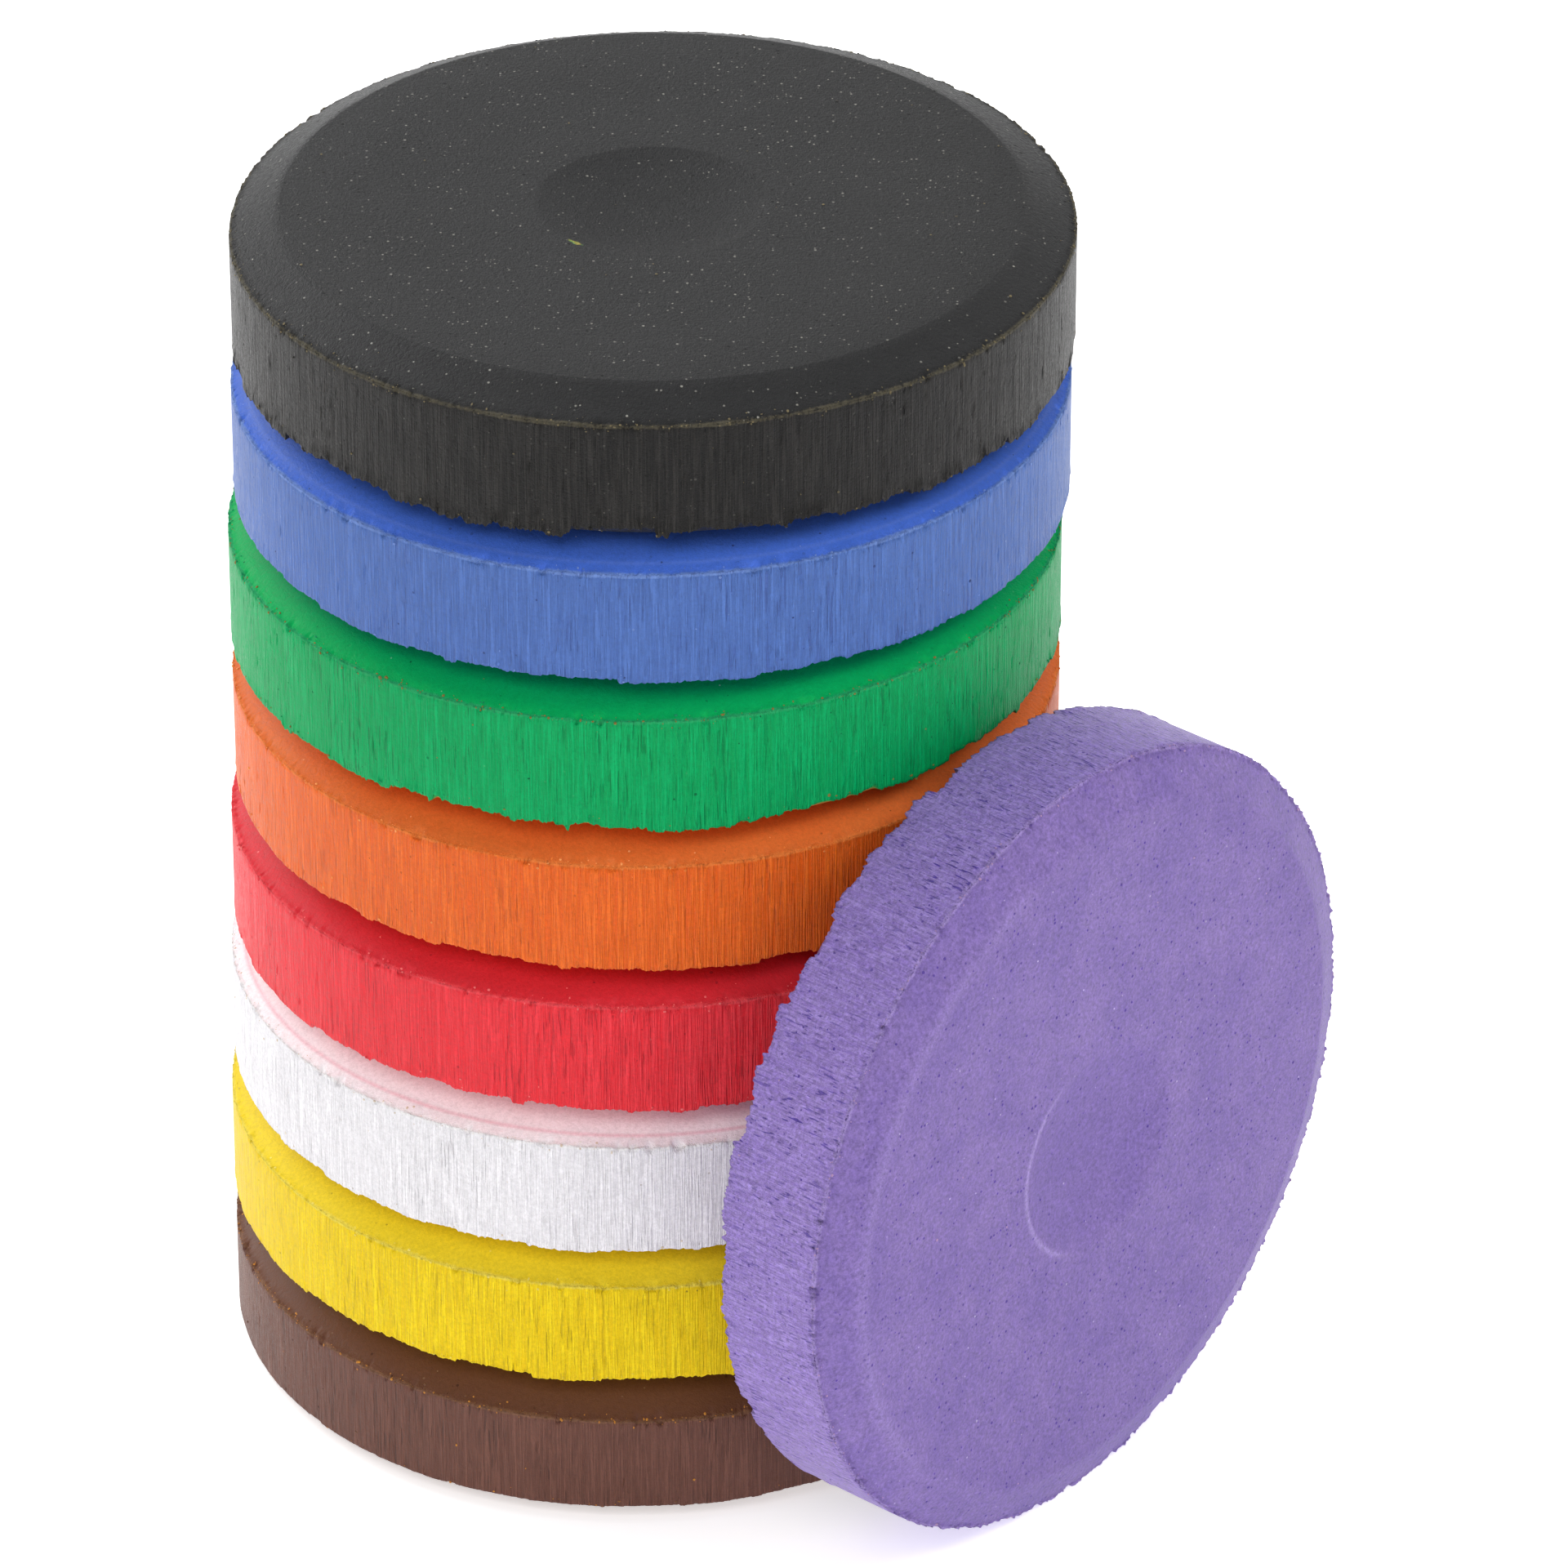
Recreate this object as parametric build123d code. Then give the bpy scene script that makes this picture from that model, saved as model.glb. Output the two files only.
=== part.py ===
"""A set of nine pressed paint cakes: eight stacked flat, one stood on edge against the stack.

Every cake is the same pressed disc with a straight wall, a bevelled edge on each face and a
shallow dished press mark in the middle of its top face; only the height of the wall differs.
Lengths are in millimetres, +Z is up, and the origin is the middle of the bottom cake's
underside, on the surface the set stands on.
"""
from build123d import *
import math
import os

# What all the cakes share: they are pressed in the same die
CAKE_DIAMETER = 57.0
BEVEL_WIDTH = 3.4         # how far each bevel runs in from the wall
BEVEL_HEIGHT = 1.6        # how far each bevel rises to the flat face
SHOULDER_RADIUS = 5.0     # soft round where a bevel meets the flat face
RIM_RADIUS = 0.3          # worn edge where a bevel meets the wall
DIMPLE_DIAMETER = 15.7    # press mark in the top face, a shallow dish with a crisp edge
DIMPLE_DEPTH = 0.8

# The stack from the bottom up: colour, height of the straight wall between the bevels, and how
# far the cake sits off the bottom one's axis in X
STACK = (
    ("brown", 7.3, 0.0),
    ("yellow", 7.5, 0.0),
    ("white", 8.2, 0.3),
    ("red", 8.0, 0.6),
    ("orange", 7.9, 1.0),
    ("green", 8.0, 1.0),
    ("blue", 7.9, 1.5),
    ("black", 7.9, 1.7),
)

# The cake on edge: its wall is on the floor and its underside faces the stack
EDGE_COLOUR = "violet"
EDGE_WALL_HEIGHT = 7.6
EDGE_FACING = -40.0       # degrees about +Z, from +X to the way its top face looks
EDGE_CLEARANCE = 0.2      # between its underside and the stacked cake that reaches nearest
EDGE_SIDESTEP = 1.7       # how far its middle is off the line through the stack's axis

CAKE_RADIUS = CAKE_DIAMETER / 2
FLAT_RADIUS = CAKE_RADIUS - BEVEL_WIDTH


def thickness(wall_height):
    """Height of a whole cake, from its underside to its top face."""
    return wall_height + 2 * BEVEL_HEIGHT


def cake_profile(wall_height):
    """Half section of one cake in the XZ plane, underside at Z = 0, axis on X = 0."""
    top = thickness(wall_height)
    dimple_edge = (DIMPLE_DIAMETER / 2, top)
    dimple_floor = (0, top - DIMPLE_DEPTH)
    with BuildSketch(Plane.XZ) as section:
        with BuildLine():
            Polyline(
                dimple_floor,
                (0, 0),
                (FLAT_RADIUS, 0),
                (CAKE_RADIUS, BEVEL_HEIGHT),
                (CAKE_RADIUS, BEVEL_HEIGHT + wall_height),
                (FLAT_RADIUS, top),
                dimple_edge,
            )
            TangentArc(dimple_floor, dimple_edge, tangent=(1, 0))
        make_face()
        for radius, corner_x in ((SHOULDER_RADIUS, FLAT_RADIUS), (RIM_RADIUS, CAKE_RADIUS)):
            nearest = section.vertices().sort_by(lambda v: abs(v.X - corner_x))[:2]
            fillet(nearest, radius)
    return section.sketch


def pressed_cake(wall_height):
    """One cake lying flat with its underside on Z = 0."""
    return revolve(cake_profile(wall_height), axis=Axis.Z)


def stacked_cakes():
    """The flat cakes by node name, each resting on the one below."""
    placed = {}
    level = 0.0
    for colour, wall_height, shift in STACK:
        placed[f"{colour}_cake"] = Pos(shift, 0, level) * pressed_cake(wall_height)
        level += thickness(wall_height)
    return placed


def stack_reach():
    """How far the stacked cakes beside the one on edge reach towards it from the origin."""
    reach = CAKE_RADIUS
    level = 0.0
    for _, wall_height, shift in STACK:
        if level < CAKE_DIAMETER:
            reach = max(reach, CAKE_RADIUS + shift * math.cos(math.radians(EDGE_FACING)))
        level += thickness(wall_height)
    return reach


def cake_on_edge():
    """The cake stood on its wall, turned to its facing and set against the stack."""
    stood = Rot(0, 90, 0) * pressed_cake(EDGE_WALL_HEIGHT)
    away = stack_reach() + EDGE_CLEARANCE
    return Rot(0, 0, EDGE_FACING) * Pos(away, EDGE_SIDESTEP, CAKE_RADIUS) * stood


os.makedirs("parts", exist_ok=True)
pieces = stacked_cakes()
pieces[f"{EDGE_COLOUR}_cake"] = cake_on_edge()
for node, piece in pieces.items():
    export_step(piece, f"parts/{node}.step")
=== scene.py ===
import bpy
import math
from mathutils import Matrix, Vector


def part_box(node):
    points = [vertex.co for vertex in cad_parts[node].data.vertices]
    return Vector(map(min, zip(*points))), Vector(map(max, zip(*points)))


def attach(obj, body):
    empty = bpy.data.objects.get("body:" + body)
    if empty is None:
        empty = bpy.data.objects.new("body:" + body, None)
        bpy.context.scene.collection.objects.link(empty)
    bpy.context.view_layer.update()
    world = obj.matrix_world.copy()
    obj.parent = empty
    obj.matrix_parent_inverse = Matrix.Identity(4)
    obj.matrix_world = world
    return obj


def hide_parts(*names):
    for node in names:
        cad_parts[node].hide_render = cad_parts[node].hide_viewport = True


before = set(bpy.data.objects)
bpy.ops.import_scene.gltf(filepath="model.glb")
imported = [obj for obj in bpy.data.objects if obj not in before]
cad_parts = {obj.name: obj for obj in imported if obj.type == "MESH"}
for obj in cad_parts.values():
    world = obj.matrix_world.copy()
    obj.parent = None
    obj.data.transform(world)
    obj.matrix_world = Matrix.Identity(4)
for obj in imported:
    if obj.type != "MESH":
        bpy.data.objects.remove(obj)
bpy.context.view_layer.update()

# ---------------------------------------------------------------------------------------------
# Camera: a long lens about 0.7 m from the set, square to its front and looking down at it, so
# that the stack narrows a little towards the table
# ---------------------------------------------------------------------------------------------
LENS_MM = 225.9
CAMERA_PLACE = Vector((0.0105, -0.5863, 0.3949))
CAMERA_DOWN = math.radians(31.0)

camera_data = bpy.data.cameras.new("product camera")
camera_data.lens = LENS_MM
camera_data.sensor_width = 36.0
camera_data.clip_start = 0.05
camera_data.clip_end = 20.0
camera = bpy.data.objects.new("product camera", camera_data)
camera.location = CAMERA_PLACE
camera.rotation_euler = (math.pi / 2 - CAMERA_DOWN, 0.0, 0.0)
bpy.context.scene.collection.objects.link(camera)
bpy.context.scene.camera = camera

# ---------------------------------------------------------------------------------------------
# Surroundings: a white table that glows a little, in a white light tent that is brighter behind
# the set than in front of it, with one soft box overhead and three more round the set
# ---------------------------------------------------------------------------------------------
TENT_FRONT = 0.22
TENT_BACK = 0.78
FLOOR_SIZE = 6.0
FLOOR_COLOUR = (0.93, 0.93, 0.93, 1.0)
FLOOR_GLOW = 0.55          # the table is lit from below
# name, place in metres, width and depth in metres, power in watts; each aims at the stack
SOFT_BOXES = (
    ("overhead", (-0.10, 0.25, 1.00), (0.9, 0.6), 3.1),
    ("left", (-0.65, 0.60, 0.36), (0.5, 0.6), 4.3),
    ("front", (-0.12, -0.78, 0.85), (0.7, 0.4), 4.3),
    ("right", (0.62, -0.30, 0.72), (0.3, 0.3), 2.1),
)
AIM = Vector((0.01, 0.0, 0.05))

world = bpy.data.worlds.new("light tent")
bpy.context.scene.world = world
world.use_nodes = True
tent = world.node_tree
tent_axes = tent.nodes.new("ShaderNodeSeparateXYZ")
tent.links.new(tent.nodes.new("ShaderNodeTexCoord").outputs["Generated"], tent_axes.inputs["Vector"])
tent_grade = tent.nodes.new("ShaderNodeMapRange")
tent_grade.interpolation_type = "SMOOTHSTEP"
tent_grade.inputs["From Min"].default_value = -1.0
tent_grade.inputs["To Min"].default_value = TENT_FRONT
tent_grade.inputs["To Max"].default_value = TENT_BACK
tent.links.new(tent_axes.outputs["Y"], tent_grade.inputs["Value"])
tent.links.new(tent_grade.outputs["Result"], tent.nodes["Background"].inputs["Strength"])
tent.nodes["Background"].inputs["Color"].default_value = (1.0, 1.0, 1.0, 1.0)

for label, place, (width, depth), watts in SOFT_BOXES:
    lamp = bpy.data.lights.new(f"{label} soft box", "AREA")
    lamp.shape = "RECTANGLE"
    lamp.size = width
    lamp.size_y = depth
    lamp.energy = watts
    lamp_object = bpy.data.objects.new(f"{label} soft box", lamp)
    lamp_object.location = place
    lamp_object.rotation_mode = "QUATERNION"
    lamp_object.rotation_quaternion = (AIM - Vector(place)).to_track_quat("-Z", "Y")
    bpy.context.scene.collection.objects.link(lamp_object)

floor_mesh = bpy.data.meshes.new("white table")
half_floor = FLOOR_SIZE / 2
floor_mesh.from_pydata(
    [(x, y, 0.0) for x, y in ((-1, -1), (1, -1), (1, 1), (-1, 1))], [], [(0, 1, 2, 3)]
)
floor_mesh.transform(Matrix.Diagonal((half_floor, half_floor, 1.0, 1.0)))
floor = bpy.data.objects.new("white table", floor_mesh)
bpy.context.scene.collection.objects.link(floor)
floor_material = bpy.data.materials.new("white table")
floor_material.use_nodes = True
floor_shader = floor_material.node_tree.nodes["Principled BSDF"]
floor_shader.inputs["Base Color"].default_value = FLOOR_COLOUR
floor_shader.inputs["Roughness"].default_value = 1.0
floor_shader.inputs["Specular IOR Level"].default_value = 0.0
floor_shader.inputs["Emission Color"].default_value = (1.0, 1.0, 1.0, 1.0)
floor_shader.inputs["Emission Strength"].default_value = FLOOR_GLOW
floor_mesh.materials.append(floor_material)

bpy.context.scene.view_settings.view_transform = "Standard"
bpy.context.scene.view_settings.look = "None"

# ---------------------------------------------------------------------------------------------
# Every cake: chalk and pigment pressed hard in a round die, which scrapes fine lines up the wall,
# crumbles the top rim and leaves ragged flash at the foot.  One node tree grows all nine from
# their sizes and a seed, and one shader group paints them; all lengths in both are millimetres.
# ---------------------------------------------------------------------------------------------
AROUND = 1440             # divisions round the rim
# rows of the surface from the middle of the underside to the middle of the top face
ROWS = (
    ("underside", 3),
    ("lower bevel", 2),
    ("flash", 3),
    ("wall", 20),
    ("upper bevel", 12),
    ("face", 7),
    ("dimple", 9),
)
CAKE_RADIUS = 28.5
BEVEL_WIDTH = 3.4
BEVEL_HEIGHT = 1.6
DIMPLE_RADIUS = 7.85
DIMPLE_DEPTH = 0.8
SHOULDER_SOFTNESS = 0.14  # share of the bevel's width that the round at its top takes
SHOULDER_RADIUS = CAKE_RADIUS - BEVEL_WIDTH  # of the line where the bevel meets the face
RING_RADIUS = 27.6        # of the faint line that a neighbour's foot rubs on the bevel
FLASH_LIP = 0.7           # how far in from the wall the flash reaches
WELD_DISTANCE = 0.002
# powers and a share that crowd the rows towards the edges that need them
WALL_CROWDING = 0.09
BEVEL_CROWDING = 1.5
FACE_CROWDING = 2.2
DIMPLE_CROWDING = 1.8
FLASH_CURVE = 0.7         # power that rounds the flash under the wall
# half widths of the pale lines that wear leaves, and the fade at the edge of the dish
DIMPLE_LINE = 0.35
SHOULDER_LINE = 0.9
RING_LINE = 0.22
DISH_FADE = 1.2


class Formula:
    """A number or vector inside a node tree; arithmetic on it adds Math nodes."""

    def __init__(self, tree, socket):
        self.tree = tree
        self.socket = socket

    def feed(self, socket, value):
        """Links a formula to a socket, or sets the socket to a plain value."""
        if isinstance(value, Formula):
            self.tree.links.new(value.socket, socket)
        else:
            socket.default_value = value

    def maths(self, operation, *values, clamp=False):
        """A Math node of the given values, in their order."""
        node = self.tree.nodes.new("ShaderNodeMath")
        node.operation = operation
        node.use_clamp = clamp
        for socket, value in zip(node.inputs, values):
            self.feed(socket, value)
        return Formula(self.tree, node.outputs[0])

    def apply(self, operation, *others):
        """This value put through a maths node, with any further inputs that it takes."""
        return self.maths(operation, self, *others)

    def __add__(self, other):
        return self.maths("ADD", self, other)

    def __radd__(self, other):
        return self.maths("ADD", other, self)

    def __sub__(self, other):
        return self.maths("SUBTRACT", self, other)

    def __rsub__(self, other):
        return self.maths("SUBTRACT", other, self)

    def __mul__(self, other):
        return self.maths("MULTIPLY", self, other)

    def __rmul__(self, other):
        return self.maths("MULTIPLY", other, self)

    def __truediv__(self, other):
        return self.maths("DIVIDE", self, other)

    def __pow__(self, other):
        return self.maths("POWER", self, other)

    def ramp(self, start, end):
        """0 below start, 1 above end, straight in between."""
        return self.maths("MULTIPLY", self - start, 1.0 / (end - start), clamp=True)

    def smooth_ramp(self, start, end):
        """0 below start, 1 above end, eased at both ends."""
        t = self.ramp(start, end)
        return t * t * (3.0 - 2.0 * t)


def add_node(tree, kind, settings=(), inputs=()):
    """A new node with its settings, and its inputs set by name or linked."""
    node = tree.nodes.new(kind)
    for key, value in dict(settings).items():
        setattr(node, key, value)
    for key, value in dict(inputs).items():
        if isinstance(value, Formula):
            tree.links.new(value.socket, node.inputs[key])
        elif isinstance(value, bpy.types.NodeSocket):
            tree.links.new(value, node.inputs[key])
        else:
            node.inputs[key].default_value = value
    return node


def vector_of(tree, x, y, z):
    """A vector of three formulas or numbers."""
    node = add_node(tree, "ShaderNodeCombineXYZ", inputs={"X": x, "Y": y, "Z": z})
    return Formula(tree, node.outputs[0])


def noise_at(tree, place, scale, detail=2.0, roughness=0.5):
    """Smooth noise from 0 to 1 at a place in millimetres; scale is in features a millimetre."""
    node = add_node(tree, "ShaderNodeTexNoise", inputs={
        "Vector": place, "Scale": scale, "Detail": detail, "Roughness": roughness})
    return Formula(tree, node.outputs[0])


def cell_at(tree, place, scale):
    """A random number from 0 to 1 for each cell round a place."""
    node = add_node(tree, "ShaderNodeTexVoronoi", inputs={"Vector": place, "Scale": scale})
    parts = add_node(tree, "ShaderNodeSeparateXYZ", inputs={"Vector": node.outputs["Color"]})
    return Formula(tree, parts.outputs[0])


def tree_inputs(tree, wanted):
    """Adds named inputs to a node tree and gives them back as formulas by name."""
    for label, kind, value in wanted:
        socket = tree.interface.new_socket(label, in_out="INPUT", socket_type=kind)
        if value is not None:
            socket.default_value = value
    entry = tree.nodes.new("NodeGroupInput")
    return {label: Formula(tree, entry.outputs[label]) for label, _, _ in wanted}


def stored(tree, geometry, label, value, kind="FLOAT"):
    """Keeps a value on the points of a geometry under a name."""
    node = add_node(tree, "GeometryNodeStoreNamedAttribute",
                    {"data_type": kind, "domain": "POINT"},
                    {"Geometry": geometry, "Name": label, "Value": value})
    return node.outputs[0]


def kept(tree, label):
    """A value kept on the points earlier."""
    node = add_node(tree, "GeometryNodeInputNamedAttribute", {"data_type": "FLOAT"}, {"Name": label})
    return Formula(tree, node.outputs["Attribute"])


def cake_tree():
    """The tree that grows a cake: a sheet rolled into the pressed section, then strewn with crumbs."""
    tree = bpy.data.node_groups.new("pressed cake", "GeometryNodeTree")
    size = tree_inputs(tree, (
        ("Radius", "NodeSocketFloat", CAKE_RADIUS),
        ("Wall height", "NodeSocketFloat", 7.9),
        ("Bevel width", "NodeSocketFloat", BEVEL_WIDTH),
        ("Bevel height", "NodeSocketFloat", BEVEL_HEIGHT),
        ("Dimple radius", "NodeSocketFloat", DIMPLE_RADIUS),
        ("Dimple depth", "NodeSocketFloat", DIMPLE_DEPTH),
        ("Seed", "NodeSocketFloat", 0.0),
        ("Flash droop", "NodeSocketFloat", 0.2),
        ("Flash teeth", "NodeSocketFloat", 0.42),
        ("Wedge", "NodeSocketFloat", 0.2),
        ("Wedge facing", "NodeSocketFloat", 0.0),
        ("Rim drop", "NodeSocketFloat", 0.0),
        ("Rim chips", "NodeSocketFloat", 0.4),
        ("Scrape depth", "NodeSocketFloat", 0.05),
        ("Crumbs", "NodeSocketFloat", 5.0),
        ("Crumb size", "NodeSocketFloat", 0.095),
        ("Paint", "NodeSocketMaterial", None),
    ))
    tree.interface.new_socket("Cake", in_out="OUTPUT", socket_type="NodeSocketGeometry")
    radius = size["Radius"]
    seed = size["Seed"]
    bevel_height = size["Bevel height"]
    bevel_width = size["Bevel width"]

    # a flat sheet: one way it counts rows of the section, the other way it goes round
    row_total = sum(count for _, count in ROWS)
    sheet = add_node(tree, "GeometryNodeMeshGrid", inputs={
        "Size X": float(row_total), "Size Y": 1.0,
        "Vertices X": row_total + 1, "Vertices Y": AROUND + 1})
    place = add_node(tree, "ShaderNodeSeparateXYZ", inputs={
        "Vector": tree.nodes.new("GeometryNodeInputPosition").outputs[0]})
    row = Formula(tree, place.outputs["X"]) + row_total / 2
    turn = (Formula(tree, place.outputs["Y"]) + 0.5) * math.tau
    cosine = turn.apply("COSINE")
    sine = turn.apply("SINE")
    along = {}
    start = 0
    for part, count in ROWS:
        along[part] = row.ramp(start, start + count)
        start += count

    # noise is read on a circle, so that it closes on itself
    around = vector_of(tree, cosine * radius, sine * radius, seed * 37.0)
    broad = noise_at(tree, around, 0.05, 1.0) - 0.5
    steps = cell_at(tree, around, 0.33) - 0.5
    small_steps = cell_at(tree, around, 0.9) - 0.5
    teeth = (noise_at(tree, around, 2.0, 3.0, 0.7) - 0.5) * 0.9
    teeth = teeth + (noise_at(tree, around, 5.5, 2.0, 0.8) - 0.5) * 0.7
    wedge = (turn - size["Wedge facing"]).apply("COSINE") * size["Wedge"]

    # the wall between its ragged foot and its crumbling rim
    flash = (steps * 0.9 + small_steps * 0.5 + teeth * 1.3 + broad * 0.8) * size["Flash teeth"]
    foot = bevel_height - size["Flash droop"] + flash + wedge * 0.5
    rim_noise = noise_at(tree, around, 0.9, 4.0, 0.65)
    chips = rim_noise.smooth_ramp(0.53, 0.66) + (noise_at(tree, around, 3.0, 4.0, 0.8) - 0.35) * 0.4
    chips = chips * size["Rim chips"]
    rim = bevel_height + size["Wall height"] + wedge - size["Rim drop"]
    wall = along["wall"]
    wall_share = wall - (wall * math.tau).apply("SINE") * WALL_CROWDING
    rim_share = along["upper bevel"] ** BEVEL_CROWDING
    top = size["Wall height"] + 2.0 * bevel_height

    # how far out each row is, before chips and scrapes
    lip = along["flash"] * FLASH_LIP
    out = (radius - bevel_width) * along["underside"] + (bevel_width - FLASH_LIP) * along["lower bevel"]
    out = out + lip - bevel_width * rim_share
    inward = 1.0 - (1.0 - along["face"]) ** FACE_CROWDING
    out = out - (radius - bevel_width - size["Dimple radius"]) * inward
    out = out - size["Dimple radius"] * along["dimple"] ** DIMPLE_CROWDING

    # how high each row is
    low = along["lower bevel"] * bevel_height * ((bevel_width - FLASH_LIP) / bevel_width)
    low = low + (foot - low) * (along["flash"] ** FLASH_CURVE)
    share_out = (out - radius) / bevel_width + 1.0
    slope = share_out.apply("SMOOTH_MAX", 0.0, SHOULDER_SOFTNESS)
    dish = 1.0 - (out / size["Dimple radius"]) ** 2.0
    dish = dish.apply("MAXIMUM", 0.0) * size["Dimple depth"]
    crown = top - (top - rim) * slope - dish
    on_top = along["upper bevel"].apply("GREATER_THAN", 0.0)
    height = low + (rim - foot) * wall_share
    height = height * (1.0 - on_top) + crown * on_top

    # chips bite into the rim; scrapes run up the wall
    wall_top = wall.smooth_ramp(0.86, 1.0)
    rim_near = wall_top * (1.0 - rim_share.ramp(0.0, 0.16))
    foot_near = along["flash"].smooth_ramp(0.0, 1.0) * (1.0 - wall.smooth_ramp(0.0, 0.22))
    on_wall = along["flash"].ramp(0.5, 1.0) * (1.0 - along["upper bevel"].ramp(0.0, 0.15))
    lines = vector_of(tree, cosine * radius, sine * radius, height * 0.035 + seed * 11.0)
    scrape = (noise_at(tree, lines, 2.4, 2.0, 0.7) - 0.5) * size["Scrape depth"]
    pit_place = vector_of(tree, cosine * out, sine * out, height + seed * 5.0)
    pits = noise_at(tree, pit_place, 2.6, 3.0, 0.6).smooth_ramp(0.62, 0.8) * 0.12
    lump_place = vector_of(tree, cosine * out, sine * out, height + seed * 9.0)
    lumps = noise_at(tree, lump_place, 2.2, 3.0, 0.7) - 0.5
    ragged = (teeth + small_steps) * foot_near * 0.22 * size["Flash teeth"]
    out = out + scrape * on_wall - pits * on_wall + ragged - chips * rim_near * 0.6
    out = out + lumps * rim_near * size["Rim chips"] * 0.8
    height = height - (chips * 0.6 - lumps * size["Rim chips"] * 1.2) * rim_near

    # the masks are kept while the sheet still counts rows, then every point goes to its place
    body = stored(tree, sheet.outputs["Mesh"], "cake_wall", on_wall)
    body = stored(tree, body, "cake_rim", rim_near)
    body = stored(tree, body, "cake_foot", foot_near)
    body = stored(tree, body, "cake_crumb", 0.0)
    body = add_node(tree, "GeometryNodeSetPosition", inputs={
        "Geometry": body, "Position": vector_of(tree, cosine * out, sine * out, height)}).outputs[0]
    position = Formula(tree, tree.nodes.new("GeometryNodeInputPosition").outputs[0])
    body = stored(tree, body, "cake_place", position, "FLOAT_VECTOR")
    body = add_node(tree, "GeometryNodeMergeByDistance", inputs={
        "Geometry": body, "Distance": WELD_DISTANCE}).outputs[0]
    body = add_node(tree, "GeometryNodeFlipFaces", inputs={"Mesh": body}).outputs[0]
    body = add_node(tree, "GeometryNodeSetShadeSmooth", inputs={"Geometry": body}).outputs[0]

    # loose crumbs, most of them on the rim and a few on the bevel and the foot
    thick = (kept(tree, "cake_rim") + kept(tree, "cake_foot") * 0.25 + 0.004) * size["Crumbs"]
    spots = add_node(tree, "GeometryNodeDistributePointsOnFaces", inputs={
        "Mesh": body, "Density": thick, "Seed": seed})
    grain = add_node(tree, "GeometryNodeMeshIcoSphere", inputs={"Radius": 1.0, "Subdivisions": 1})
    random_shape = add_node(tree, "FunctionNodeRandomValue", {"data_type": "FLOAT_VECTOR"})
    random_shape.inputs["Min"].default_value = (0.5, 0.5, 0.4)
    random_shape.inputs["Max"].default_value = (1.3, 1.2, 0.9)
    random_size = Formula(tree, add_node(tree, "FunctionNodeRandomValue", {"data_type": "FLOAT"},
                                         {"Seed": 3}).outputs["Value"])
    scale = add_node(tree, "ShaderNodeVectorMath", {"operation": "SCALE"}, {
        "Vector": random_shape.outputs["Value"],
        "Scale": (random_size ** 3.0 + 0.35) * size["Crumb size"]})
    crumbs = add_node(tree, "GeometryNodeInstanceOnPoints", inputs={
        "Points": spots.outputs["Points"], "Instance": grain.outputs["Mesh"],
        "Rotation": spots.outputs["Rotation"], "Scale": scale.outputs["Vector"]})
    tint = add_node(tree, "FunctionNodeRandomValue", {"data_type": "FLOAT"}, {"Seed": 7})
    tint.inputs["Min"].default_value = 0.05
    crumbs = add_node(tree, "GeometryNodeStoreNamedAttribute",
                      {"data_type": "FLOAT", "domain": "INSTANCE"},
                      {"Geometry": crumbs.outputs[0], "Name": "cake_crumb",
                       "Value": tint.outputs["Value"]})
    crumbs = add_node(tree, "GeometryNodeRealizeInstances", inputs={
        "Geometry": crumbs.outputs[0]}).outputs[0]
    crumbs = stored(tree, crumbs, "cake_place", position, "FLOAT_VECTOR")

    whole = tree.nodes.new("GeometryNodeJoinGeometry")
    tree.links.new(body, whole.inputs[0])
    tree.links.new(crumbs, whole.inputs[0])
    realised = add_node(tree, "GeometryNodeRealizeInstances", inputs={"Geometry": whole.outputs[0]})
    painted = add_node(tree, "GeometryNodeSetMaterial", inputs={
        "Geometry": realised.outputs[0], "Material": size["Paint"]})
    leave = tree.nodes.new("NodeGroupOutput")
    tree.links.new(painted.outputs[0], leave.inputs["Cake"])
    return tree


CAKE_TREE = cake_tree()


def grow_cake(label, material, to_place, sizes):
    """A plain mesh of one cake, grown by the tree and moved from its own frame in millimetres."""
    holder = bpy.data.objects.new(f"{label} growing", bpy.data.meshes.new(f"{label} growing"))
    bpy.context.scene.collection.objects.link(holder)
    modifier = holder.modifiers.new("pressed cake", "NODES")
    modifier.node_group = CAKE_TREE
    for item in CAKE_TREE.interface.items_tree:
        if item.in_out == "INPUT" and item.name in sizes:
            modifier[item.identifier] = sizes[item.name]
        elif item.in_out == "INPUT" and item.name == "Paint":
            modifier[item.identifier] = material
    bpy.context.view_layer.update()
    graph = bpy.context.evaluated_depsgraph_get()
    mesh = bpy.data.meshes.new_from_object(holder.evaluated_get(graph))
    bpy.data.objects.remove(holder)
    mesh.name = label
    mesh.transform(to_place @ Matrix.Scale(0.001, 4))
    piece = bpy.data.objects.new(label, mesh)
    bpy.context.scene.collection.objects.link(piece)
    return piece


def flat_in_stack(node):
    """The place of a flat cake's own frame, whose origin is the middle of its underside."""
    low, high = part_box(node)
    return Matrix.Translation(((low.x + high.x) / 2, (low.y + high.y) / 2, low.z))


def wall_of(thickness):
    """Wall height in millimetres of a cake whose thickness is given in metres."""
    return thickness * 1000.0 - 2.0 * BEVEL_HEIGHT


def srgb(red, green, blue):
    """Linear colour of a paint matched on the usual 0 to 255 scale."""
    def linear(value):
        share = value / 255.0
        return share / 12.92 if share <= 0.04045 else ((share + 0.055) / 1.055) ** 2.4
    return (linear(red), linear(green), linear(blue), 1.0)


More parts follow.
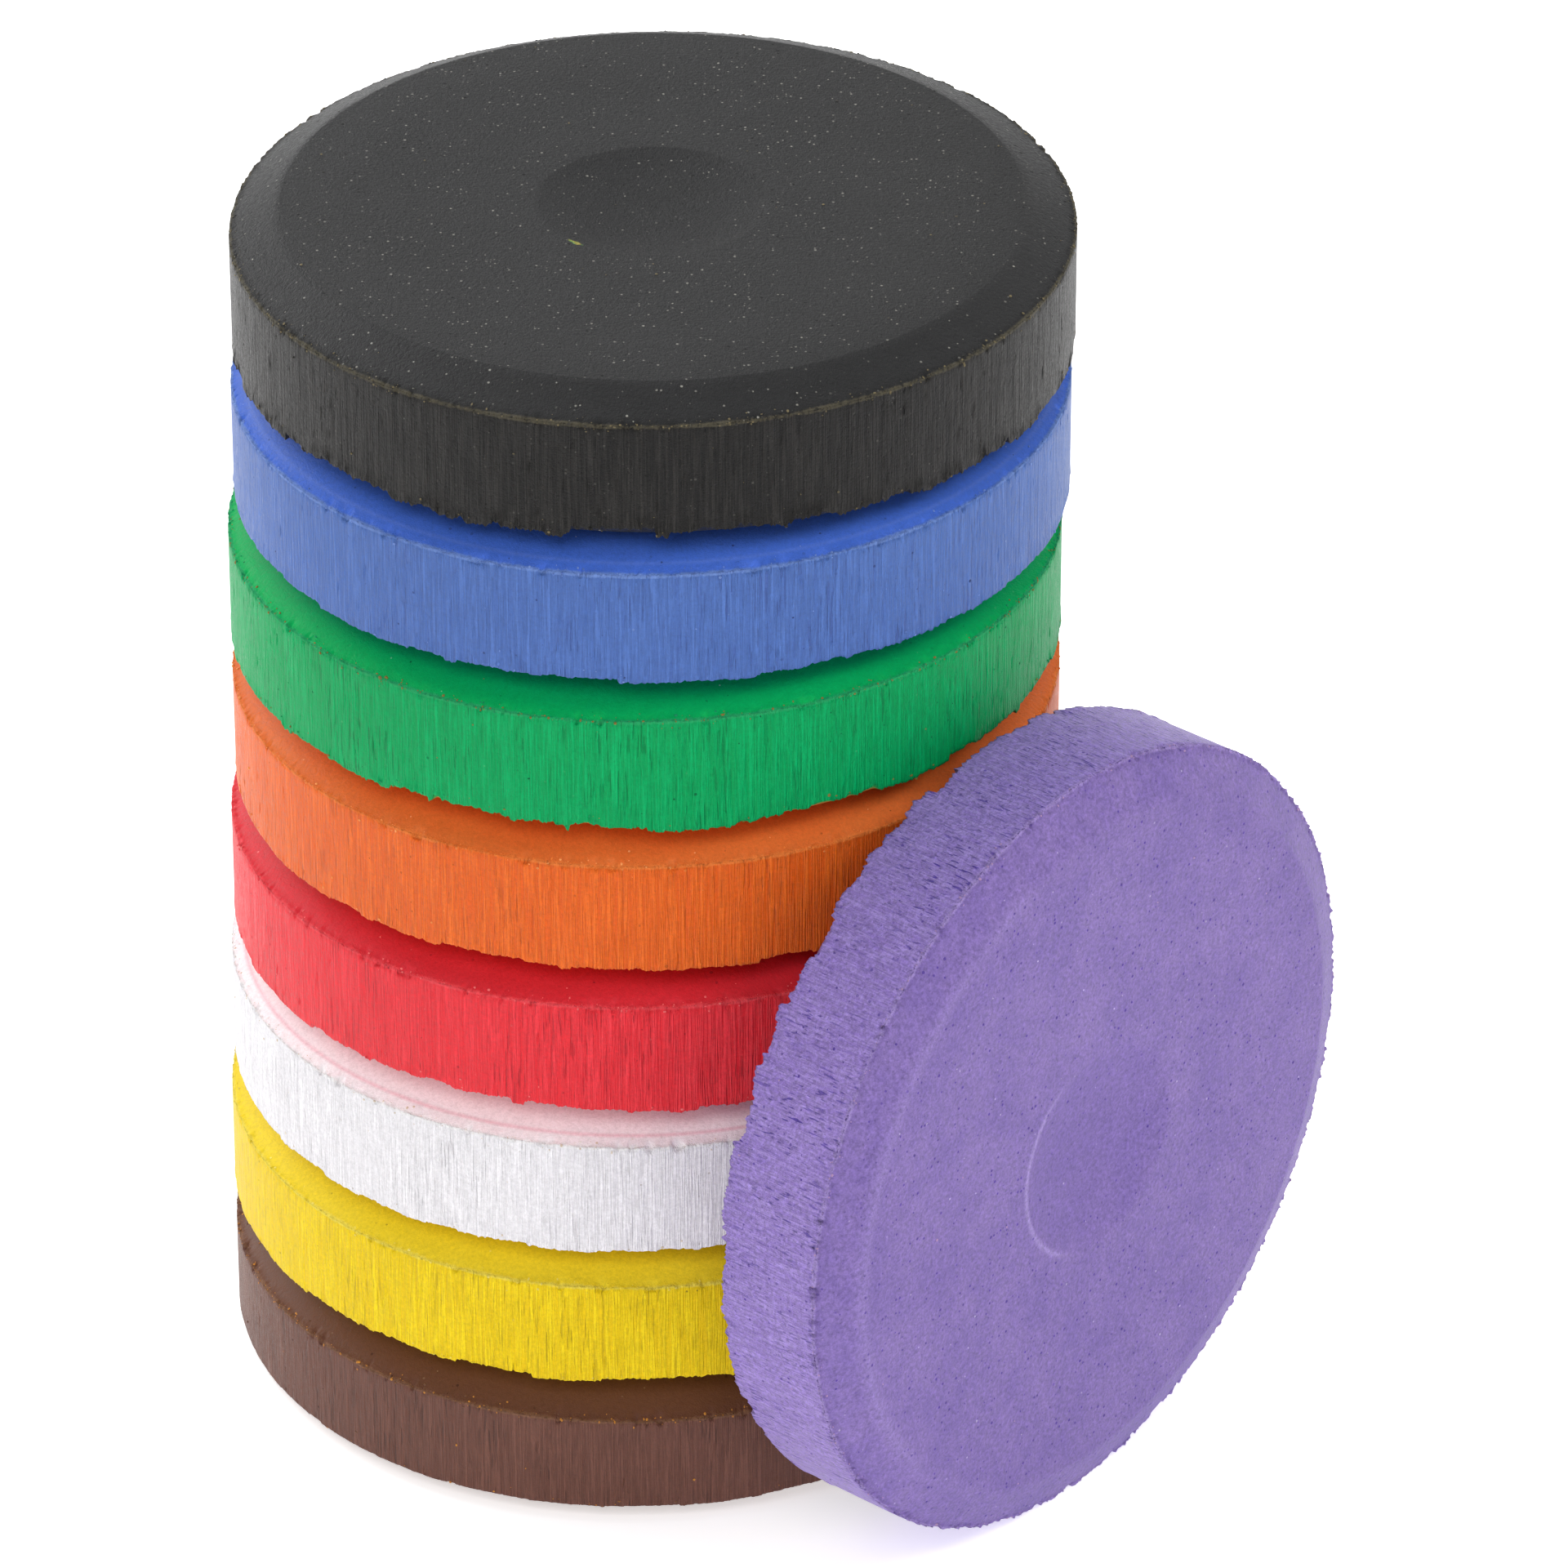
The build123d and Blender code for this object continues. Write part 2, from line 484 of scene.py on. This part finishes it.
def mixed(tree, share, first, second, blend="MIX"):
    """Colour between two colours by a share from 0 to 1."""
    node = add_node(tree, "ShaderNodeMix", {"data_type": "RGBA", "blend_type": blend})
    # a Mix node's colours come after its numbers and vectors
    blended = Formula(tree, node.outputs[2])
    for socket, value in zip((node.inputs[0], node.inputs[6], node.inputs[7]), (share, first, second)):
        blended.feed(socket, value)
    return blended


def speck_at(tree, place, scale, size, share):
    """Small round specks in a share of the cells round a place."""
    node = add_node(tree, "ShaderNodeTexVoronoi", inputs={"Vector": place, "Scale": scale})
    parts = add_node(tree, "ShaderNodeSeparateXYZ", inputs={"Vector": node.outputs["Color"]})
    near = Formula(tree, node.outputs["Distance"])
    picked = Formula(tree, parts.outputs[0]).apply("LESS_THAN", share)
    varied = size * (Formula(tree, parts.outputs[1]) ** 2.0 * 1.3 + 0.35)
    strength = Formula(tree, parts.outputs[2]) ** 1.5 * 0.8 + 0.1
    return picked * near.apply("LESS_THAN", varied) * strength


def group_outputs(tree, wanted):
    """Adds named outputs to a node group and links a formula to each."""
    leave = tree.nodes.new("NodeGroupOutput")
    for label, kind, value in wanted:
        tree.interface.new_socket(label, in_out="OUTPUT", socket_type=kind)
        tree.links.new(value.socket, leave.inputs[label])


def grain_group():
    """Chalk grain: fine tooth, cloudy mottle, and light and dark specks of unmixed powder."""
    tree = bpy.data.node_groups.new("chalk grain", "ShaderNodeTree")
    wanted = tree_inputs(tree, (
        ("Place", "NodeSocketVector", (0.0, 0.0, 0.0)),
        ("Light specks", "NodeSocketFloat", 0.02),
        ("Dark specks", "NodeSocketFloat", 0.02),
    ))
    place = wanted["Place"]
    tooth = noise_at(tree, place, 3.4, 3.0, 0.85)
    cloud = noise_at(tree, place, 0.22, 4.0, 0.6) * 0.6 + noise_at(tree, place, 1.1, 3.0, 0.6) * 0.4
    light = speck_at(tree, place, 3.2, 0.18, wanted["Light specks"])
    dark = speck_at(tree, place, 2.8, 0.2, wanted["Dark specks"])
    group_outputs(tree, (
        ("Tooth", "NodeSocketFloat", tooth),
        ("Mottle", "NodeSocketFloat", cloud.smooth_ramp(0.3, 0.7)),
        ("Light", "NodeSocketFloat", light),
        ("Dark", "NodeSocketFloat", dark),
    ))
    return tree


def scrape_group():
    """Lines that the die leaves up the wall: close fine ones, a few deep, in fading bands."""
    tree = bpy.data.node_groups.new("die scrapes", "ShaderNodeTree")
    wanted = tree_inputs(tree, (
        ("Place", "NodeSocketVector", (0.0, 0.0, 0.0)),
        ("Breaks", "NodeSocketFloat", 0.02),
    ))
    axes = add_node(tree, "ShaderNodeSeparateXYZ", inputs={"Vector": wanted["Place"]})
    x, y, z = (Formula(tree, socket) for socket in axes.outputs)
    drawn = vector_of(tree, x, y, z * wanted["Breaks"])
    short = vector_of(tree, x, y, z * wanted["Breaks"] * 3.0)
    hair = noise_at(tree, drawn, 8.0, 2.0, 0.75)
    fine = noise_at(tree, short, 3.6, 2.0, 0.6)
    band = noise_at(tree, vector_of(tree, x, y, z * 0.6), 0.22, 2.0).smooth_ramp(0.3, 0.7)
    deep = noise_at(tree, short, 6.0, 1.0, 0.5).smooth_ramp(0.6, 0.68) * band
    lines = hair * 0.7 + fine * 0.3
    group_outputs(tree, (
        ("Lines", "NodeSocketFloat", lines.smooth_ramp(0.38, 0.62)),
        ("Deep", "NodeSocketFloat", deep),
    ))
    return tree


def edge_group():
    """Where the rim and foot crumble: pale broken powder, with painted shade as dark pits between the
    lumps.
    """
    tree = bpy.data.node_groups.new("crumbled edge", "ShaderNodeTree")
    wanted = tree_inputs(tree, (
        ("Place", "NodeSocketVector", (0.0, 0.0, 0.0)),
        ("Rim", "NodeSocketFloat", 0.0),
    ))
    lumps = noise_at(tree, wanted["Place"], 2.8, 3.0, 0.85)
    patches = noise_at(tree, wanted["Place"], 0.3, 2.0).smooth_ramp(0.3, 0.7)
    broken = (wanted["Rim"] * (0.3 + lumps * 0.9 + patches * 0.3)).smooth_ramp(0.5, 0.85)
    # painted shade: dark spots in the low places between the lumps
    pits = (wanted["Rim"] * (1.15 - lumps)).smooth_ramp(0.62, 0.72) * (0.4 + patches * 0.6)
    group_outputs(tree, (
        ("Broken", "NodeSocketFloat", broken),
        ("Pit shade", "NodeSocketFloat", pits),
    ))
    return tree


def wear_and_highlight_group():
    """Pale worn lines on the dimple's edge and the bevel's shoulder in noise patches, with a painted
    highlight added on one side where that is set, and the dish inside the dimple, which is painted
    toward the cloud colour as painted shade.
    """
    tree = bpy.data.node_groups.new("wear, painted highlight and dish shade", "ShaderNodeTree")
    wanted = tree_inputs(tree, (
        ("Place", "NodeSocketVector", (0.0, 0.0, 0.0)),
        ("Patch place", "NodeSocketVector", (0.0, 0.0, 0.0)),
        ("Highlight bearing", "NodeSocketFloat", 0.0),
        ("Highlight on one side", "NodeSocketFloat", 0.0),
    ))
    place = wanted["Patch place"]
    axes = add_node(tree, "ShaderNodeSeparateXYZ", inputs={"Vector": wanted["Place"]})
    x, y, z = (Formula(tree, socket) for socket in axes.outputs)
    turn = y.apply("ARCTAN2", x) - wanted["Highlight bearing"]
    # painted highlight: the worn lines are made paler on one side of the press mark's edge, at the
    # given bearing
    painted_highlight_side = turn.apply("COSINE") * wanted["Highlight on one side"]
    reach = (x * x + y * y) ** 0.5
    off_dimple = (reach - DIMPLE_RADIUS).apply("ABSOLUTE")
    off_ring = (reach - RING_RADIUS).apply("ABSOLUTE")
    off_shoulder = (reach - SHOULDER_RADIUS).apply("ABSOLUTE")
    patches = (painted_highlight_side + (noise_at(tree, place, 0.15, 2.0) - 0.5) * 1.5).smooth_ramp(0.1, 0.9)
    rough = noise_at(tree, place, 2.4, 3.0, 0.8) + 0.5
    upper = z.smooth_ramp(4.0, 5.0)
    wear_and_highlight = (1.0 - off_dimple.ramp(0.0, DIMPLE_LINE)) * 0.9
    wear_and_highlight = wear_and_highlight + (1.0 - off_shoulder.ramp(0.0, SHOULDER_LINE)) * 0.35
    # the dish inside the dimple, where painted shade goes
    dish = 1.0 - reach.ramp(DIMPLE_RADIUS - DISH_FADE, DIMPLE_RADIUS)
    group_outputs(tree, (
        ("Wear and highlight", "NodeSocketFloat", wear_and_highlight * patches * rough * upper),
        ("Inside", "NodeSocketFloat", dish * upper),
        ("Under", "NodeSocketFloat", 1.0 - z.ramp(1.2, 1.6)),
        ("Ring", "NodeSocketFloat", (1.0 - off_ring.ramp(0.0, RING_LINE)) * rough * upper),
    ))
    return tree


def paint_group():
    """The whole look of a cake from its colours: face, scraped wall, crumbling rim and crumbs."""
    tree = bpy.data.node_groups.new("pressed paint", "ShaderNodeTree")
    grey = (0.2, 0.2, 0.2, 1.0)
    wanted = tree_inputs(tree, (
        ("Seed", "NodeSocketFloat", 0.0),
        ("Face", "NodeSocketColor", grey),
        ("Face cloud", "NodeSocketColor", grey),
        ("Underside", "NodeSocketColor", grey),
        ("Ring colour", "NodeSocketColor", grey),
        ("Wall", "NodeSocketColor", grey),
        ("Wall line", "NodeSocketColor", grey),
        ("Deep line", "NodeSocketColor", grey),
        ("Rim powder", "NodeSocketColor", grey),
        # Pit is the colour of the painted shade in the rim's pits
        ("Pit", "NodeSocketColor", grey),
        ("Light speck", "NodeSocketColor", grey),
        ("Dark speck", "NodeSocketColor", grey),
        ("Crumb one", "NodeSocketColor", grey),
        ("Crumb two", "NodeSocketColor", grey),
        ("Light specks", "NodeSocketFloat", 0.02),
        ("Dark specks", "NodeSocketFloat", 0.02),
        ("Deep lines", "NodeSocketFloat", 0.6),
        ("Line breaks", "NodeSocketFloat", 0.02),
        ("Powder", "NodeSocketFloat", 0.7),
        ("Grain", "NodeSocketFloat", 0.6),
        ("Pit shade", "NodeSocketFloat", 0.45),
        ("Ring", "NodeSocketFloat", 0.0),
        # Wear scales the pale worn lines and the painted shade in the dish; the bearing and one-side
        # share paint a highlight on one side of the worn lines
        ("Wear", "NodeSocketFloat", 0.25),
        ("Painted highlight bearing", "NodeSocketFloat", 0.0),
        ("Painted highlight one side", "NodeSocketFloat", 0.0),
        ("Face roughness", "NodeSocketFloat", 0.5),
        ("Wall roughness", "NodeSocketFloat", 0.4),
    ))
    stored_place = add_node(tree, "ShaderNodeAttribute", {"attribute_name": "cake_place"})
    moved = add_node(tree, "ShaderNodeVectorMath", {"operation": "ADD"},
                     {"Vector": stored_place.outputs["Vector"]})
    offset = vector_of(tree, wanted["Seed"] * 7.0, wanted["Seed"] * 3.0, wanted["Seed"] * 0.7)
    tree.links.new(offset.socket, moved.inputs[1])
    place = Formula(tree, moved.outputs[0])
    wall, rim, crumb = (
        Formula(tree, add_node(tree, "ShaderNodeAttribute", {"attribute_name": label}).outputs["Fac"])
        for label in ("cake_wall", "cake_rim", "cake_crumb"))

    grain = add_node(tree, "ShaderNodeGroup", {"node_tree": grain_group()}, {
        "Place": place, "Light specks": wanted["Light specks"], "Dark specks": wanted["Dark specks"]})
    scrapes = add_node(tree, "ShaderNodeGroup", {"node_tree": scrape_group()}, {
        "Place": place, "Breaks": wanted["Line breaks"]})
    edge = add_node(tree, "ShaderNodeGroup", {"node_tree": edge_group()}, {
        "Place": place, "Rim": rim})
    tooth, mottle, light, dark = (
        Formula(tree, grain.outputs[label]) for label in ("Tooth", "Mottle", "Light", "Dark"))
    lines, deep = (Formula(tree, scrapes.outputs[label]) for label in ("Lines", "Deep"))
    broken, pits = (Formula(tree, edge.outputs[label]) for label in ("Broken", "Pit shade"))

    face = mixed(tree, mottle, wanted["Face"], wanted["Face cloud"])
    wear = add_node(tree, "ShaderNodeGroup", {"node_tree": wear_and_highlight_group()}, {
        "Place": stored_place.outputs["Vector"], "Patch place": place,
        "Highlight bearing": wanted["Painted highlight bearing"], "Highlight on one side": wanted["Painted highlight one side"]})
    wear_and_highlight, dish_shade, under, ring = (
        Formula(tree, wear.outputs[label]) for label in ("Wear and highlight", "Inside", "Under", "Ring"))
    face = mixed(tree, under, face, wanted["Underside"])
    # painted shade: the dish inside the dimple is mixed toward the cloud colour, darkest where that
    # colour is darker
    face = mixed(tree, dish_shade * wanted["Wear"] * 0.7, face, wanted["Face cloud"])
    # pale worn lines in noise patches, with a painted highlight on one side where that is set
    face = mixed(tree, wear_and_highlight * wanted["Wear"], face, wanted["Rim powder"])
    face = mixed(tree, ring * wanted["Ring"], face, wanted["Ring colour"])
    side = mixed(tree, lines, wanted["Wall"], wanted["Wall line"])
    side = mixed(tree, deep * wanted["Deep lines"], side, wanted["Deep line"])
    colour = mixed(tree, wall, face, side)
    colour = mixed(tree, broken * wanted["Powder"], colour, wanted["Rim powder"])
    # painted shade in the rim's pits
    colour = mixed(tree, pits * wanted["Pit shade"], colour, wanted["Pit"])
    colour = mixed(tree, light * (1.0 - wall * 0.8), colour, wanted["Light speck"])
    colour = mixed(tree, dark, colour, wanted["Dark speck"])
    shade = 1.0 + (tooth - 0.5) * wanted["Grain"]
    colour = mixed(tree, 1.0, colour, vector_of(tree, shade, shade, shade), "MULTIPLY")
    crumb_colour = mixed(tree, crumb.ramp(0.45, 0.55), wanted["Crumb one"], wanted["Crumb two"])
    colour = mixed(tree, crumb.apply("GREATER_THAN", 0.01), colour, crumb_colour)

    roughness = wanted["Face roughness"] * (1.0 - wall) + wanted["Wall roughness"] * wall
    height = tooth * wanted["Grain"] * 1.3 - dark * 1.5
    height = height + wall * (lines * 0.7 - deep * 0.8) + rim * tooth * 0.9
    group_outputs(tree, (
        ("Colour", "NodeSocketColor", colour),
        ("Roughness", "NodeSocketFloat", roughness + (tooth - 0.5) * 0.6 + rim * 0.2 + dark * 0.5),
        ("Height", "NodeSocketFloat", height),
    ))
    return tree


PAINT_GROUP = paint_group()
SMEAR_WIDTH = 0.45        # of a dab of other paint caught on the dimple's edge
SMEAR_TURN = 11.0         # degrees that it runs either way along the edge


def smeared(tree, colour, facing, first, second):
    """Colour with a broken dab of two other paints on the dimple's edge, at a bearing in degrees."""
    place = add_node(tree, "ShaderNodeAttribute", {"attribute_name": "cake_place"}).outputs["Vector"]
    axes = add_node(tree, "ShaderNodeSeparateXYZ", inputs={"Vector": place})
    x, y, _ = (Formula(tree, socket) for socket in axes.outputs)
    reach = (x * x + y * y) ** 0.5
    off_edge = (reach - DIMPLE_RADIUS).apply("ABSOLUTE")
    bearing = y.apply("ARCTAN2", x) - math.radians(facing)
    bearing = bearing.apply("ABSOLUTE")
    near = (1.0 - off_edge.ramp(0.0, SMEAR_WIDTH)) * (1.0 - bearing.ramp(0.0, math.radians(SMEAR_TURN)))
    broken = noise_at(tree, place, 3.0, 3.0, 0.8)
    shade = mixed(tree, noise_at(tree, place, 1.6).ramp(0.45, 0.55), first, second)
    return mixed(tree, (near * broken).smooth_ramp(0.22, 0.34), colour, shade)


def pressed_paint(label, values, gloss=0.2, bump=0.08, smear=None):
    """One cake's material: the shared look with its own colours; sizes are millimetres."""
    material = bpy.data.materials.new(label)
    material.use_nodes = True
    tree = material.node_tree
    shader = tree.nodes["Principled BSDF"]
    look = add_node(tree, "ShaderNodeGroup", {"node_tree": PAINT_GROUP}, values)
    relief = add_node(tree, "ShaderNodeBump", inputs={
        "Height": look.outputs["Height"], "Distance": bump / 1000.0, "Strength": 1.0})
    colour = Formula(tree, look.outputs["Colour"])
    if smear:
        colour = smeared(tree, colour, *smear)
    tree.links.new(colour.socket, shader.inputs["Base Color"])
    tree.links.new(look.outputs["Roughness"], shader.inputs["Roughness"])
    tree.links.new(relief.outputs["Normal"], shader.inputs["Normal"])
    shader.inputs["Specular IOR Level"].default_value = gloss
    return material


def make_cake(colour, seed, sizes, values, to_place=None, **finish):
    """Grows, paints and enters one cake: its node and body are named after its colour."""
    node = f"{colour}_cake"
    low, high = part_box(node)
    looks = {"Seed": seed, "Underside": values["Face"], **values}
    material = pressed_paint(f"pressed {colour} paint", looks, **finish)
    chosen = {"Seed": seed, "Wall height": wall_of(high.z - low.z), **sizes}
    piece = grow_cake(f"{colour} cake body", material, to_place or flat_in_stack(node), chosen)
    piece.name = f"{colour}_paint_cake"
    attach(piece, colour)
    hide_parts(node)


# ---------------------------------------------------------------------------------------------
# Black, loose on top of the stack: lamp black pressed with chalk.  Its face is smooth charcoal,
# tan crumbs are caught on its rim, and other paint is dabbed on the edge of its press mark.
# ---------------------------------------------------------------------------------------------
DAB_BEARING = -130.0      # degrees round the press mark's edge, in the cake's own frame
make_cake("black", 1.0, {"Crumbs": 9.0, "Scrape depth": 0.07, "Flash teeth": 0.9, "Rim chips": 0.22}, {
    "Face": srgb(33, 33, 34), "Face cloud": srgb(27, 27, 28),
    "Wall": srgb(18, 17, 16), "Wall line": srgb(42, 40, 38), "Deep line": srgb(12, 12, 12),
    "Rim powder": srgb(98, 92, 74), "Pit": srgb(6, 6, 6),
    "Light speck": srgb(168, 166, 157), "Dark speck": srgb(40, 40, 40),
    "Crumb one": srgb(62, 60, 56), "Crumb two": srgb(128, 116, 86),
    "Light specks": 0.32, "Dark specks": 0.25, "Grain": 1.4, "Pit shade": 0.9,
    "Face roughness": 0.42, "Wall roughness": 0.36,
}, gloss=0.22, bump=0.13, smear=(DAB_BEARING, srgb(96, 150, 70), srgb(150, 140, 60)))

# ---------------------------------------------------------------------------------------------
# Blue, loose between green and black: ultramarine let down with chalk, pressed like the rest,
# with pale powder along its rim and a faint ring rubbed on its bevel
# ---------------------------------------------------------------------------------------------
make_cake("blue", 2.0, {"Scrape depth": 0.035}, {
    "Face": srgb(68, 110, 214), "Face cloud": srgb(73, 113, 216),
    "Wall": srgb(68, 100, 168), "Wall line": srgb(79, 113, 183), "Deep line": srgb(58, 78, 150),
    "Rim powder": srgb(118, 148, 212), "Pit": srgb(50, 66, 132),
    "Light speck": srgb(200, 214, 236), "Dark speck": srgb(40, 50, 96),
    "Crumb one": srgb(90, 122, 196), "Crumb two": srgb(124, 152, 216),
    "Ring colour": srgb(150, 176, 236),
    "Light specks": 0.02, "Dark specks": 0.05, "Deep lines": 0.45, "Ring": 0.12,
})

# ---------------------------------------------------------------------------------------------
# Green, loose between orange and blue: a bright green pressed like the rest, with tan crumbs
# among its own along the rim and an underside dusted orange by the cake below
# ---------------------------------------------------------------------------------------------
make_cake("green", 3.0, {"Flash teeth": 0.65, "Crumbs": 9.0}, {
    "Face": srgb(0, 170, 84), "Face cloud": srgb(0, 176, 87),
    "Wall": srgb(0, 152, 82), "Wall line": srgb(0, 168, 96), "Deep line": srgb(0, 110, 60),
    "Rim powder": srgb(48, 166, 104), "Pit": srgb(8, 92, 58),
    "Light speck": srgb(150, 210, 160), "Dark speck": srgb(10, 82, 52),
    "Crumb one": srgb(30, 150, 96), "Crumb two": srgb(140, 120, 60),
    "Underside": srgb(214, 120, 60),
    "Light specks": 0.02, "Dark specks": 0.05,
}, gloss=0.1)

# ---------------------------------------------------------------------------------------------
# Orange, loose between red and green: a strong warm orange pressed like the rest, with a pale
# crumbly rim and shallow scrapes
# ---------------------------------------------------------------------------------------------
make_cake("orange", 4.0, {"Scrape depth": 0.035}, {
    "Face": srgb(223, 110, 46), "Face cloud": srgb(223, 115, 50),
    "Wall": srgb(220, 89, 16), "Wall line": srgb(234, 108, 29), "Deep line": srgb(176, 72, 22),
    "Rim powder": srgb(238, 134, 62), "Pit": srgb(156, 62, 26),
    "Light speck": srgb(250, 190, 130), "Dark speck": srgb(150, 66, 30),
    "Crumb one": srgb(236, 126, 52), "Crumb two": srgb(248, 164, 96),
    "Light specks": 0.02, "Dark specks": 0.04, "Deep lines": 0.45,
})

# ---------------------------------------------------------------------------------------------
# Red, loose between white and orange: scarlet pressed like the rest, with bright crumbs on its
# rim and an underside rubbed pale by the white cake below
# ---------------------------------------------------------------------------------------------
make_cake("red", 5.0, {}, {
    "Face": srgb(212, 39, 52), "Face cloud": srgb(215, 44, 57),
    "Wall": srgb(224, 36, 47), "Wall line": srgb(236, 53, 64), "Deep line": srgb(172, 28, 40),
    "Rim powder": srgb(240, 82, 90), "Pit": srgb(150, 24, 36),
    "Light speck": srgb(250, 150, 150), "Dark speck": srgb(140, 26, 40),
    "Crumb one": srgb(232, 64, 74), "Crumb two": srgb(246, 120, 120),
    "Underside": srgb(236, 162, 167),
    "Light specks": 0.02, "Dark specks": 0.04, "Deep lines": 0.5,
})

# ---------------------------------------------------------------------------------------------
# White, loose between yellow and red: plain chalk pressed like the rest, with tan crumbs on its
# rim.  The red cake has rubbed a pink ring on its bevel, and the yellow one dusts its underside.
# ---------------------------------------------------------------------------------------------
make_cake("white", 6.0, {"Scrape depth": 0.025}, {
    "Face": srgb(248, 244, 248), "Face cloud": srgb(250, 246, 248),
    "Wall": srgb(232, 230, 234), "Wall line": srgb(242, 240, 244), "Deep line": srgb(206, 202, 208),
    "Rim powder": srgb(248, 246, 246), "Pit": srgb(190, 176, 170),
    "Light speck": srgb(255, 255, 255), "Dark speck": srgb(190, 178, 170),
    "Crumb one": srgb(246, 244, 244), "Crumb two": srgb(222, 206, 184),
    "Underside": srgb(238, 222, 120), "Ring colour": srgb(228, 150, 170),
    "Light specks": 0.02, "Dark specks": 0.03, "Deep lines": 0.4, "Ring": 0.4, "Wall roughness": 0.6,
}, gloss=0.06)

# ---------------------------------------------------------------------------------------------
# Yellow, loose between brown and white: lemon yellow pressed like the rest, with small crumbs
# along its rim
# ---------------------------------------------------------------------------------------------
make_cake("yellow", 7.0, {}, {
    "Face": srgb(234, 207, 42), "Face cloud": srgb(236, 210, 49),
    "Wall": srgb(232, 195, 12), "Wall line": srgb(242, 213, 23), "Deep line": srgb(186, 154, 24),
    "Rim powder": srgb(240, 222, 96), "Pit": srgb(160, 128, 28),
    "Light speck": srgb(250, 240, 160), "Dark speck": srgb(150, 124, 40),
    "Crumb one": srgb(232, 206, 50), "Crumb two": srgb(244, 228, 120),
    "Light specks": 0.02, "Dark specks": 0.04,
}, gloss=0.1)

# ---------------------------------------------------------------------------------------------
# Brown, on the table with the stack loose on it: burnt umber pressed like the rest, a little
# low at the rim, with a clean foot and gold crumbs on its rim
# ---------------------------------------------------------------------------------------------
make_cake("brown", 8.0, {"Rim drop": 0.4, "Flash teeth": 0.15, "Crumbs": 8.0}, {
    "Face": srgb(101, 63, 48), "Face cloud": srgb(103, 65, 48),
    "Wall": srgb(99, 61, 50), "Wall line": srgb(116, 75, 63), "Deep line": srgb(70, 44, 38),
    "Rim powder": srgb(136, 98, 72), "Pit": srgb(56, 34, 26),
    "Light speck": srgb(180, 150, 120), "Dark speck": srgb(58, 38, 32),
    "Crumb one": srgb(118, 82, 62), "Crumb two": srgb(206, 140, 60),
    "Light specks": 0.03, "Dark specks": 0.04,
})

# ---------------------------------------------------------------------------------------------
# Violet, loose beside the stack: mottled lavender pressed like the rest, stood on its wall with
# its face to the right front, badly chipped at the rim and foot, with a painted highlight on one side
# of its press mark's edge and painted shade in its dish
# ---------------------------------------------------------------------------------------------
FACING = math.radians(-40.0)
# bearing of the side of the press mark's edge that gets a painted highlight
HIGHLIGHT_SIDE = math.radians(-95.0)   # of the press mark's edge, in the cake's own frame
violet_low, violet_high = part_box("violet_cake")
violet_middle = (violet_low + violet_high) / 2
VIOLET_WALL = 7.6
to_middle = Matrix.Translation((0.0, 0.0, -(VIOLET_WALL / 2 + BEVEL_HEIGHT) / 1000.0))
stood = Matrix.Rotation(FACING, 4, "Z") @ Matrix.Rotation(math.pi / 2, 4, "Y")
make_cake("violet", 9.0, {"Wall height": VIOLET_WALL, "Flash teeth": 0.85, "Rim chips": 0.6}, {
    "Face": srgb(135, 113, 177), "Face cloud": srgb(119, 98, 167),
    "Wall": srgb(140, 116, 190), "Wall line": srgb(160, 138, 206), "Deep line": srgb(80, 58, 152),
    "Rim powder": srgb(166, 146, 206), "Pit": srgb(84, 60, 130),
    "Light speck": srgb(210, 196, 230), "Dark speck": srgb(84, 62, 150),
    "Crumb one": srgb(150, 126, 196), "Crumb two": srgb(184, 150, 190),
    "Light specks": 0.03, "Dark specks": 0.5, "Deep lines": 1.0, "Line breaks": 0.06,
    "Grain": 1.8, "Pit shade": 0.95,
    # Wear here also darkens the dish as painted shade, and the bearing and one-side share put a painted
    # highlight on one side of the press mark's edge
    "Wear": 0.8, "Painted highlight bearing": HIGHLIGHT_SIDE, "Painted highlight one side": 1.0,
}, to_place=Matrix.Translation(violet_middle) @ stood @ to_middle)
